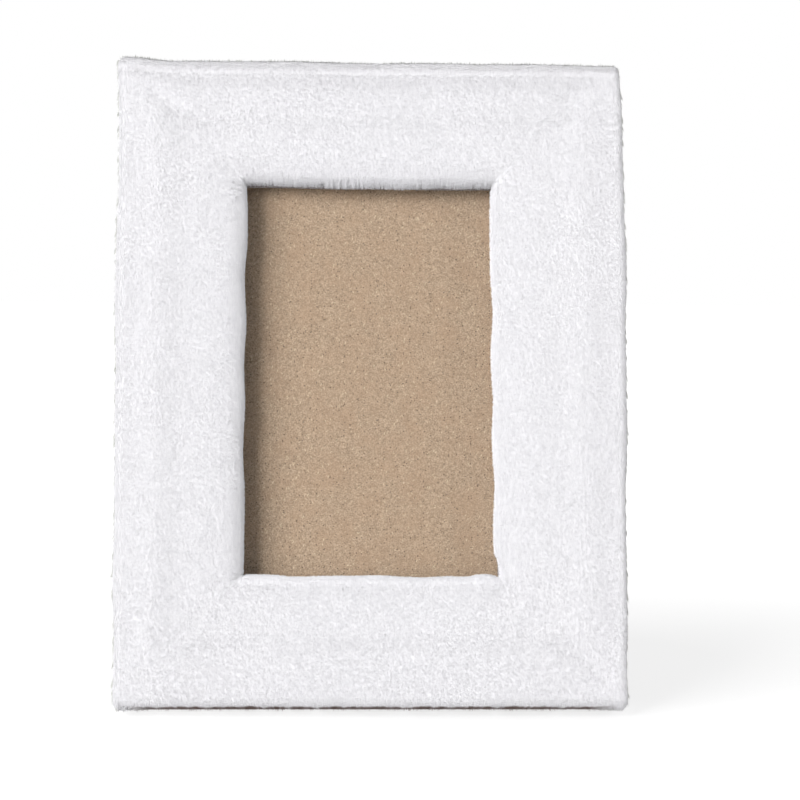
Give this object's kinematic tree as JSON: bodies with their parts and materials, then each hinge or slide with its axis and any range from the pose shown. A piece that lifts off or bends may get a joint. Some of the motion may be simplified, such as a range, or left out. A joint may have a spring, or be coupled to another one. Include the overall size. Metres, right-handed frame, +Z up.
{
  "type": "padded plush photo frame",
  "caption": "Portrait table-top photo frame with padded plush rails, a rebated fibreboard back held by turn-buttons and a folding easel leg.",
  "frame": {"origin": "on the surface it stands on, under the middle of the whole object's box", "axes": "+X to the right of someone looking at the picture, +Y towards the back of the frame, +Z up; the picture faces -Y and leans back 15 degrees"},
  "size_m": [0.18, 0.0906, 0.227],
  "materials": {
    "plush": "matte",
    "foam": "matte",
    "fibreboard": "matte",
    "velour": "matte",
    "clear_glass": "gloss",
    "steel": "satin"
  },
  "bodies": {
    "frame": {"plush_cover": "plush", "foam_pad": "foam", "core_ring": "fibreboard", "rebate_ring": "fibreboard", "back_liner": "velour", "glass_pane": "clear_glass", "back_board": "fibreboard", "board_lining": "velour", "hinge_upper_leaf": "steel", "hinge_screw_left": "steel", "hinge_screw_right": "steel", "hinge_pin": "steel", "button_screw_lower_left": "steel", "button_screw_lower_right": "steel", "button_screw_upper_left": "steel", "button_screw_upper_right": "steel"},
    "leg": {"easel_leg": "fibreboard", "leg_lining": "velour", "hinge_lower_leaf": "steel", "leg_rivet_left": "steel", "leg_rivet_right": "steel"},
    "button_lower_left": {"turn_button_lower_left": "steel"},
    "button_lower_right": {"turn_button_lower_right": "steel"},
    "button_upper_left": {"turn_button_upper_left": "steel"},
    "button_upper_right": {"turn_button_upper_right": "steel"}
  },
  "joints": [
    {"name": "leg_fold", "type": "hinge", "parent": "frame", "child": "leg", "pos_m": [0, 0.01776, 0.15271], "axis": [1, 0, 0], "range_deg": [-25, 0]},
    {"name": "turn_lower_left", "type": "hinge", "parent": "frame", "child": "button_lower_left", "pos_m": [-0.0596, -0.0066, 0.07434], "axis": [0, 0.9659, -0.2588], "range_deg": [-90, 90]},
    {"name": "turn_lower_right", "type": "hinge", "parent": "frame", "child": "button_lower_right", "pos_m": [0.0596, -0.0066, 0.07434], "axis": [0, 0.9659, -0.2588], "range_deg": [-90, 90]},
    {"name": "turn_upper_left", "type": "hinge", "parent": "frame", "child": "button_upper_left", "pos_m": [-0.0596, 0.01307, 0.14775], "axis": [0, 0.9659, -0.2588], "range_deg": [-90, 90]},
    {"name": "turn_upper_right", "type": "hinge", "parent": "frame", "child": "button_upper_right", "pos_m": [0.0596, 0.01307, 0.14775], "axis": [0, 0.9659, -0.2588], "range_deg": [-90, 90]}
  ]
}
